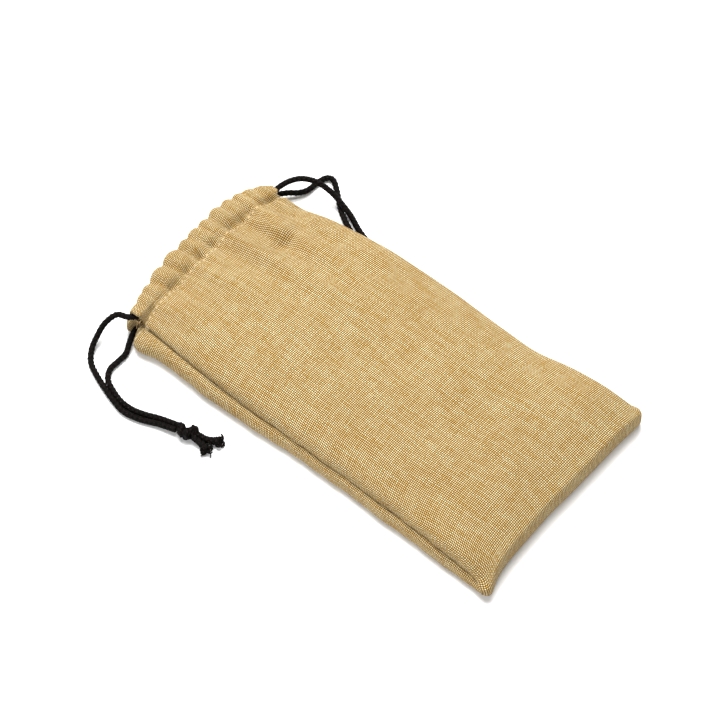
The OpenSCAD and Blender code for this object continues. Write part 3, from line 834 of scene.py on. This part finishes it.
def shape_front(outer, inner, s):
    """Adds the front panel's folds, soft lumps and crease; s is the distance from the bottom fold."""
    x, y = outer[:, :, 0], outer[:, :, 1]
    upper = smoothstep(outer[:, :, 2], 8.5, 12.0) * smoothstep(s, 1.5, 14)
    outer[:, :, 2] += upper * panel_folds(x, y)
    pressed = 0.55 * np.exp(-((s - BODY_LENGTH) / 1.1) ** 2)  # by the stitching
    outer[:, :, 2] -= pressed * smoothstep(outer[:, :, 2], 8, 11)
    soft = lattice(x.shape, (26, 17), 11) * 0.33 + lattice(x.shape, (9, 7), 12) * 0.09
    near_mouth = smoothstep(-x, 42, 66) * smoothstep(y, -30, 20)
    soft = soft + lattice(x.shape, (12, 7), 14) * 0.55 * near_mouth
    outer[:, :, 2] += soft * smoothstep(outer[:, :, 2], 7.5, 13.5) * smoothstep(s, 0.8, 8)
    # A slanting crease at the near side of the middle
    dx, dy = x - 20, y + 31
    across, along = dx * 0.42 + dy * 0.9, dx * 0.9 - dy * 0.42
    hollow = 0.5 * np.exp(-(across / 1.6) ** 2 - (along / 9) ** 2)
    ridge = 0.35 * np.exp(-((across - 3) / 2.4) ** 2 - (along / 10) ** 2)
    outer[:, :, 2] -= hollow - ridge
    # The inner face follows the hollows only
    dips = np.minimum(panel_folds(inner[:, :, 0], inner[:, :, 1]), 0)
    inner[:, :, 2] += smoothstep(inner[:, :, 2], 8.5, 12) * 0.7 * dips


def shape_back(outer, s):
    """Lifts the underside off the floor in soft waves."""
    on_floor = 1 - smoothstep(outer[:, :, 2], 0.1, 0.8)
    waves = np.abs(lattice(outer.shape[:2], (22, 15), 21)) * 0.25
    outer[:, :, 2] += on_floor * waves * smoothstep(s, 4, 14)


def pouch_cloth():
    """The pouch's one strip of cloth: outer and inner faces of both sides, with their casings."""
    outer_s = body_rows()
    inner_s = np.concatenate([np.linspace(1, 0.06, 56), [0.045, 0.032, 0.022]])
    gone = outer_s[:, None] * BODY_LENGTH
    sheets, weaves = {}, {}
    for top in (True, False):
        outer, weave = body_sheet(top, outer_s, 0.0)
        inner, inner_weave = body_sheet(top, inner_s, LINING)
        # Both inner faces close on each other at the bottom
        inner[-1, :, 2] = 4.2
        inner[-1, :, 0] -= 0.5
        if top:
            shape_front(outer, inner, gone)
            casing = front_casing_rows(outer[-1], inner[0])
        else:
            shape_back(outer, gone)
            casing = back_casing_rows(outer[-1], inner[0])
        casing_uv = casing_weave(np.concatenate([outer[-1:], casing]), weave[-1])
        sheets[top] = np.concatenate([outer, casing, inner])
        weaves[top] = np.concatenate([weave, casing_uv, inner_weave])
    up, down = sheets[True], sheets[False]
    r0, r1 = len(outer_s) - 1, len(outer_s) + len(casing)
    total = len(up)

    verts = list(up.reshape(-1, 3))
    top_id = np.arange(total * (COLS + 1)).reshape(total, COLS + 1)
    low_id = np.full_like(top_id, -1)
    # Both sides share their points at the bottom fold, along the side seams and where they close inside
    joined = np.concatenate([np.arange(r0 + 1), np.arange(r1, total)])
    low_id[joined, 0], low_id[joined, COLS] = top_id[joined, COLS], top_id[joined, 0]
    low_id[0] = top_id[0, ::-1]
    low_id[-1] = top_id[-1, ::-1]
    own = low_id < 0
    low_id[own] = len(verts) + np.arange(own.sum())
    verts += list(down[own])
    faces, uvs = [], []
    for ids, uv in ((top_id, weaves[True] / THREAD_PITCH), (low_id, weaves[False] / THREAD_PITCH)):
        for i in range(total - 1):
            for j in range(COLS):
                faces.append((ids[i, j], ids[i, j + 1], ids[i + 1, j + 1], ids[i + 1, j]))
                uvs += [uv[i, j], uv[i, j + 1], uv[i + 1, j + 1], uv[i + 1, j]]

    def add_face(*corners):
        """A face whose weave runs along x and z."""
        faces.append(corners)
        uvs.extend(np.array([verts[k][0], verts[k][2]]) / THREAD_PITCH for k in corners)

    def cap(ring, push):
        """Closes a casing's end with a rim and the mouth of the cord's tunnel."""
        points = np.array([verts[k] for k in ring])
        middle = points[len(points) // 8: -len(points) // 8].mean(0)
        before = list(ring)
        for scale, depth in ((RIM, 0.0), (RIM * 0.92, 0.35), (RIM * 0.85, 1.0)):
            now = []
            for p in points:
                now.append(len(verts))
                verts.append(middle + (p - middle) * scale + np.array(push) * depth)
            n = len(before)
            for k in range(n):
                a, b = k, (k + 1) % n
                add_face(before[a], before[b], now[b], now[a])
            before = now
        hub = len(verts)
        verts.append(np.array([verts[k] for k in before]).mean(0))
        for k in range(len(before)):
            add_face(before[k], before[(k + 1) % len(before)], hub)

    cap(top_id[r0: r1 + 1, 0], (0, 3.4, 0))
    cap(top_id[r0: r1 + 1, COLS][::-1], (0, -3.4, 0))
    cap(low_id[r0: r1 + 1, 0], (0, 0.5, -3.6))
    cap(low_id[r0: r1 + 1, COLS][::-1], (0, -0.5, -3.6))
    obj = mesh_object("pouch_cloth", verts, [tuple(int(k) for k in f) for f in faces], CLOTH, uvs)
    return obj, up[: r0 + 1], down[: r0 + 1]


cloth, panel, under = pouch_cloth()
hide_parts("front_panel", "back_panel", "front_casing", "back_casing", "left_casing_end",
            "right_casing_end")
gathers(cloth)


# ---------------------------------------- stitches and strips
def weave_flat(obj, soup, pitch):
    """Runs the weave of a piece along x and y."""
    loops = np.zeros(len(obj.data.loops), np.int32)
    obj.data.loops.foreach_get("vertex_index", loops)
    uv = np.array(soup.verts)[loops][:, :2] / pitch
    obj.data.uv_layers["weave"].data.foreach_set("uv", uv.astype(np.float32).ravel())


def edge_normals(sheet):
    """Outward directions along a sheet's last row."""
    along_row = np.gradient(sheet[-1], axis=0)
    along_col = sheet[-1] - sheet[-4]
    n = np.cross(along_row, along_col)
    return n / np.linalg.norm(n, axis=1)[:, None]


def casing_stitches(name, sheet, skipped, dash, gap, rise):
    """The stitching along a sheet's last row, but for a few columns at its ends, clear of the floor."""
    line = sheet[-1].copy()
    line[:, 2] = np.maximum(line[:, 2], 0.42)
    soup = Soup()
    kept = slice(skipped, -skipped)
    stitch_row(soup, line[kept], edge_normals(sheet)[kept], dash, gap, rise)
    stitching = soup.piece(f"{name}_casing_stitches", THREAD)
    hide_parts(f"{name}_casing_stitching")
    return gathers(stitching)


front_stitching = casing_stitches("front", panel, skipped=2, dash=1.65, gap=1.0, rise=0.16)
back_stitching = casing_stitches("back", under, skipped=3, dash=1.75, gap=0.8, rise=0.12)

# The turned-in cloth's cross-section: share of its width, and height in millimetres
ALLOWANCE_OUTLINE = [
    (0, 0.5), (0.35, 0.62), (0.7, 0.6), (1, 0.5), (1.02, 0.02), (1, -0.5), (0.7, -0.6), (0.35, -0.62),
    (0, -0.5)]
TACK_ARC = [(-0.1, 1.3), (0.55, 0.2), (0.95, -1.1)]  # mm outwards and up from the groove
for side, name in ((-1, "left"), (1, "right")):
    groove = near_groove if side < 0 else far_groove
    xs = np.arange(-77.5, 84.0, 1.5)
    outer = np.array([abs(groove(x)) - 1.9 for x in xs])
    seam = np.array([seam_height(x) for x in xs]) - 0.5
    # The turned-in cloth: two layers pressed together, wavy along their cut edge
    wave = lattice((len(xs), 1), (5, 1), 31 + side)[:, 0]
    rings = []
    for x, y, z, w in zip(xs, outer, seam, wave):
        width = 4.9 + 0.3 * w
        rings.append([[x, side * (y - width * a), z + b + 0.25 * w * a] for a, b in ALLOWANCE_OUTLINE])
    strip = Soup()
    strip.add(np.array(rings) if side < 0 else np.array(rings)[:, ::-1])
    allowance = strip.piece(f"{name}_turned_in_cloth", CLOTH)
    weave_flat(allowance, strip, THREAD_PITCH)
    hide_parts(f"{name}_seam_allowance")
    seam_soup = Soup()
    line = np.stack([xs, side * (outer - 1.6), seam + 0.62], 1)[1:-1]
    stitch_row(seam_soup, line, np.tile([0, 0, 1.0], (len(line), 1)), 2.1, 0.8)
    seam_stitching = seam_soup.piece(f"{name}_seam_stitches", THREAD)
    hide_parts(f"{name}_seam_stitching")
    # The bar tack: short stitches across the seam where the slit ends
    tack_soup = Soup()
    for k in range(3):
        x = -78.5 + 0.6 * k
        g, top = abs(groove(x)), seam_height(x) + 0.3
        line = spline([[x, side * (g + out), top + up] for out, up in TACK_ARC], 0.3)
        tube(tack_soup, line, 0.17, 7)
    tack = tack_soup.piece(f"{name}_slit_tack_stitches", THREAD)
    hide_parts(f"{name}_slit_tack")
    for piece in (allowance, seam_stitching, tack):
        gathers(piece)


# ---------------------------------------- sachet
def sachet():
    """A muslin pillow, closed at its inner end and sewn flat at its outer end."""
    closed_x, sewn_x, half_width, middle_z = 86.3, -43.3, 35.8, 6.4
    m, n = 130, 120
    shares = np.linspace(0, 1, m)
    lumps = lattice((m, n), (9, 8), 41) * 0.35 + lattice((m, n), (20, 15), 42) * 0.5
    rings = []
    for i, f in enumerate(shares):
        s = f * (closed_x - sewn_x)
        end = min(s, (closed_x - sewn_x) - s)
        full = (1 - (1 - min(end / 24, 1)) ** 2.6) ** 0.5
        a = np.arange(n) / n * 2 * math.pi
        c, q = np.cos(a), np.sin(a)
        width = half_width * (0.955 + 0.045 * smoothstep(end, 0, 12))
        y = width * np.sign(c) * np.abs(c) ** 0.62
        side = 1 - np.abs(y / width) ** 8
        pucker = 0.35 * np.sin(y * 1.35 + 1.3 * math.sin(i * 0.3)) * (1 - smoothstep(end, 1, 12))
        high = np.where(q > 0, 5.75, 4.95)
        lump = lumps[i] * 0.8 * full * np.where(q > 0, side, 0)
        z = middle_z + np.sign(q) * np.abs(q) ** 0.8 * high * max(full, 0.05) + pucker * side + lump
        z = np.clip(z, 1.35, 12.6)
        rings.append(np.stack([np.full(n, sewn_x + s), y, z], 1))
    rings = np.array(rings)[::-1]
    soup = Soup()
    soup.add(rings)
    # The sewn edge at the mouth end, slightly wavy
    edge = []
    for k, x in enumerate(np.linspace(sewn_x + 2.5, sewn_x - 5.0, 12)):
        y = np.linspace(-33.2, 33.2, 90)
        wave = 0.28 * np.sin(y * 0.55) * (k / 11) + 0.15 * np.sin(y * 1.7 + 1) * (k / 11)
        upper = np.stack([np.full(90, x) - 0.15 * np.sin(y * 2.1) * (k / 11), y, middle_z + 0.55 + wave], 1)
        lower = np.stack([upper[::-1, 0], y[::-1], middle_z - 0.55 + wave[::-1]], 1)
        edge.append(np.concatenate([upper, lower]))
    edge = np.array(edge)
    soup.add(edge)
    obj = soup.piece("muslin_sachet", MUSLIN)
    weave_flat(obj, soup, 0.6)
    line = edge[7][:90]
    stitches = Soup()
    stitch_row(stitches, line, np.tile([0, 0, 1.0], (90, 1)), 2.1, 0.8)
    return obj, stitches.piece("sachet_edge_stitches", THREAD)


pillow, pillow_stitches = sachet()
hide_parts("sachet_cover")
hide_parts("sachet_stitching")
for piece in (pillow, pillow_stitches):
    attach(piece, "sachet")
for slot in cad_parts["herb_fill"].material_slots:
    slot.material = HERBS


# ---------------------------------------- floor and light
def floor_and_light():
    """A wide pale floor under a white sky, a soft key light from behind and a fill from the front."""
    reach = 6.0 / MM
    corners = [(-reach, -reach, 0), (reach, -reach, 0), (reach, reach, 0), (-reach, reach, 0)]
    floor = mesh_object("floor", corners, [(0, 1, 2, 3)], floor_material(), smooth=False)
    world = bpy.data.worlds.new("studio")
    world.use_nodes = True
    background = world.node_tree.nodes["Background"]
    background.inputs[0].default_value = (1.0, 1.0, 1.0, 1)
    background.inputs[1].default_value = 0.33
    scene.world = world
    for name, place, power, width in (
        ("key", (-0.5, 0.44, 1.34), 49.0, 1.0),
        ("fill", (0.3, -1.25, 0.85), 12.0, 1.4),
    ):
        data = bpy.data.lights.new(name, "AREA")
        data.energy, data.size = power, width
        lamp = bpy.data.objects.new(name, data)
        scene.collection.objects.link(lamp)
        lamp.location = place
        lamp.rotation_mode = "QUATERNION"
        lamp.rotation_quaternion = (-Vector(place)).to_track_quat("-Z", "Y")


def floor_material():
    n = Nodes("pale floor")
    soft = n.noise(n.place(), 3.0, 2.0)
    return n.finish(n.mix(soft, (0.93, 0.93, 0.93, 1), (0.95, 0.95, 0.95, 1)), 0.9)


floor_and_light()
scene.view_settings.view_transform = "Standard"
